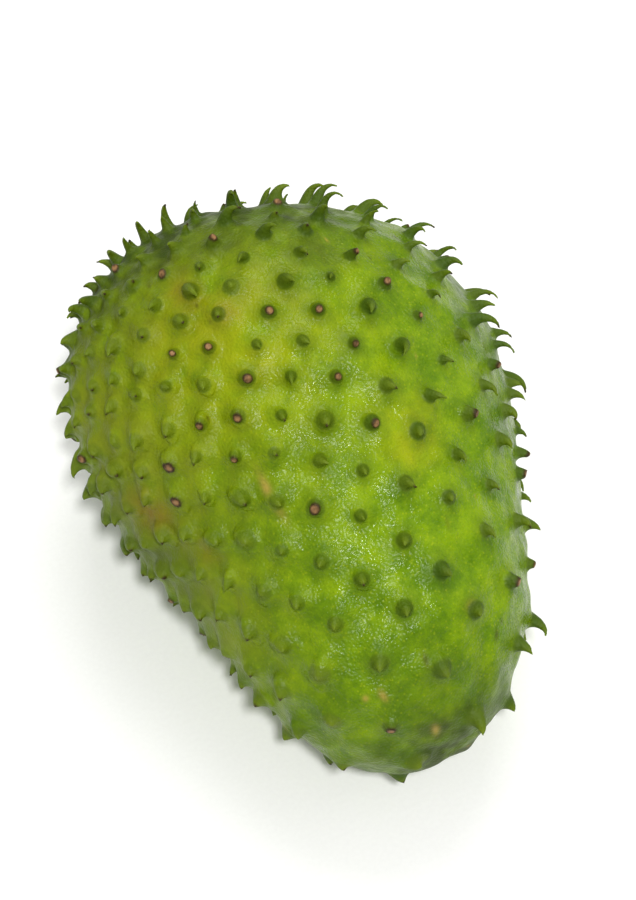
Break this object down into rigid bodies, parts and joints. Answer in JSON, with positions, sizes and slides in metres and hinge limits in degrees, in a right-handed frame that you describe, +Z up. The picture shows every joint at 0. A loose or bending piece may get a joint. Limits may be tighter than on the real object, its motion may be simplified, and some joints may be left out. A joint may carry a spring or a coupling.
{
  "type": "soursop",
  "caption": "Whole soursop fruit as picked, a lopsided heart-like body set all over with soft hooked spines, lying on its side on a small flat spot.",
  "frame": {"origin": "middle of the flat spot that the fruit rests on", "axes": "+Z up, +Y along the fruit towards its stem end, -X towards its starved side, where the outline is hollow"},
  "size_m": [0.1574, 0.2023, 0.1357],
  "materials": {
    "rind": "waxy living rind, half gloss, yellow green and darker on the spines"
  },
  "bodies": {
    "root": {"soursop": "rind"}
  },
  "joints": []
}
